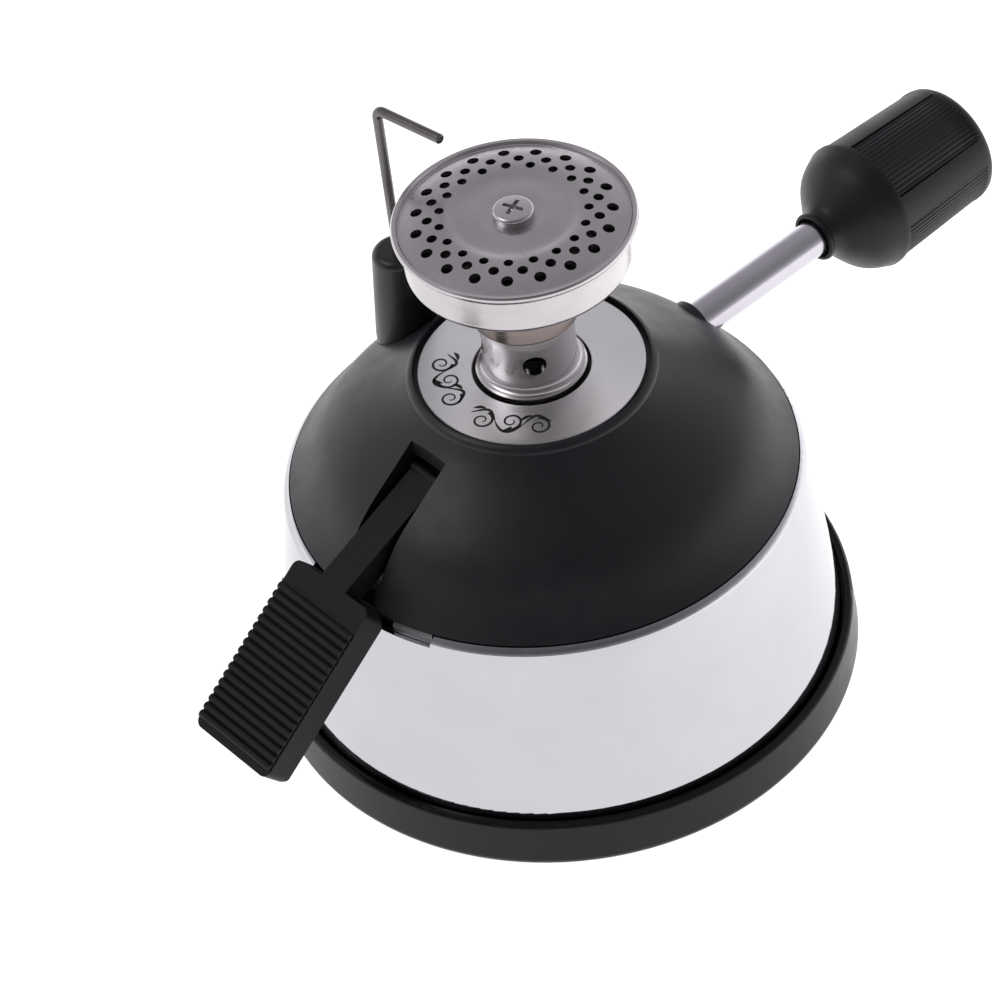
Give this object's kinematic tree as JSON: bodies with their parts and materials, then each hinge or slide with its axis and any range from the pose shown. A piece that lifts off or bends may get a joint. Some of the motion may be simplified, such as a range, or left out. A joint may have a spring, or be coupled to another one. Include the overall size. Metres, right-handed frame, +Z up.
{
  "type": "siphon coffee maker burner",
  "caption": "Tabletop butane burner for a siphon coffee maker: domed cover on a chrome skirt, perforated head, ribbed ignition lever, spark electrode and long flame knob.",
  "frame": {"origin": "centre of the base on the surface it stands on", "axes": "+Z up, +X along the control rod to the knob, the lever points to -X and the electrode stands near +Y"},
  "size_m": [0.1583, 0.095, 0.0994],
  "materials": {
    "base_rubber": "fine matte sheet",
    "base_plastic": "satin black moulding",
    "skirt_chrome": "mirror polish",
    "cover_plastic": "fine textured black moulding",
    "trim_steel": "satin with an engraved ornament",
    "seal_rubber": "matte",
    "screw_steel": "zinc plated",
    "head_steel": "polished stainless steel",
    "plate_steel": "polished with fine circular marks",
    "screen_steel": "woven wire",
    "valve_brass": "turned",
    "rod_steel": "polished",
    "knob_plastic": "satin black with ribbed panels",
    "tank_plastic": "milky moulding",
    "tube_plastic": "clear tube",
    "spring_steel": "bright wire",
    "piezo_plastic": "moulded",
    "plunger_plastic": "ivory moulding",
    "lever_plastic": "fine textured black moulding",
    "wire_steel": "drawn wire",
    "cable_rubber": "silicone insulation",
    "post_plastic": "black ceramic-filled insulator"
  },
  "bodies": {
    "housing": {"base_pad": "base_rubber", "base_tray": "base_plastic", "chrome_skirt": "skirt_chrome", "top_cover": "cover_plastic", "trim_plate": "trim_steel", "stem_seal": "seal_rubber", "cover_screws": "screw_steel", "burner_stem": "head_steel", "burner_cup": "head_steel", "flame_plate": "plate_steel", "flame_screen": "screen_steel", "head_bridge": "plate_steel", "head_screw": "head_steel", "valve_body": "valve_brass", "valve_gasket": "seal_rubber", "valve_screws": "screw_steel", "gas_nozzle": "valve_brass", "needle_o_ring": "seal_rubber", "gland_nut": "valve_brass", "rod_bushing": "cover_plastic", "tank_lower": "tank_plastic", "tank_upper": "tank_plastic", "feed_tube": "tube_plastic", "refill_valve_body": "valve_brass", "refill_valve_seal": "seal_rubber", "refill_valve_spring": "spring_steel", "piezo_cradle": "base_plastic", "piezo_body": "piezo_plastic", "piezo_spring": "spring_steel", "lever_pin": "screw_steel", "electrode_post": "post_plastic", "electrode_wire": "wire_steel", "ignition_cable": "cable_rubber"},
    "lever": {"lever": "lever_plastic"},
    "plunger": {"piezo_plunger": "plunger_plastic"},
    "rod": {"control_rod": "rod_steel", "knob": "knob_plastic"},
    "needle": {"valve_needle": "screw_steel"},
    "refill": {"refill_valve_stem": "screw_steel"}
  },
  "joints": [
    {"name": "lever_press", "type": "hinge", "parent": "housing", "child": "lever", "pos_m": [-0.02, 0, 0.0515], "axis": [0, 1, 0], "range_deg": [0, 14.5], "stiffness_Nm_per_rad": 0.4, "springref_deg": 20.05},
    {"name": "piezo_press", "type": "slide", "parent": "housing", "child": "plunger", "axis": [0, 0, 1], "range_m": [0, 0.0037], "deforming": ["piezo_spring"]},
    {"name": "flame_control", "type": "hinge", "parent": "housing", "child": "rod", "pos_m": [0, 0, 0.0475], "axis": [1, 0, 0], "range_deg": [0, 270]},
    {"name": "needle_travel", "type": "slide", "parent": "rod", "child": "needle", "axis": [1, 0, 0], "range_m": [0, 0.00061]},
    {"name": "refill_press", "type": "slide", "parent": "housing", "child": "refill", "axis": [0, 0, 1], "range_m": [0, 0.0015], "stiffness_N_per_m": 300, "springref_m": -0.002, "deforming": ["refill_valve_spring"]}
  ],
  "couplings": [
    {"joint": "piezo_press", "follows": "lever_press", "m_per_rad": 0.0129},
    {"joint": "needle_travel", "follows": "flame_control", "m_per_rad": 0.0001273}
  ]
}
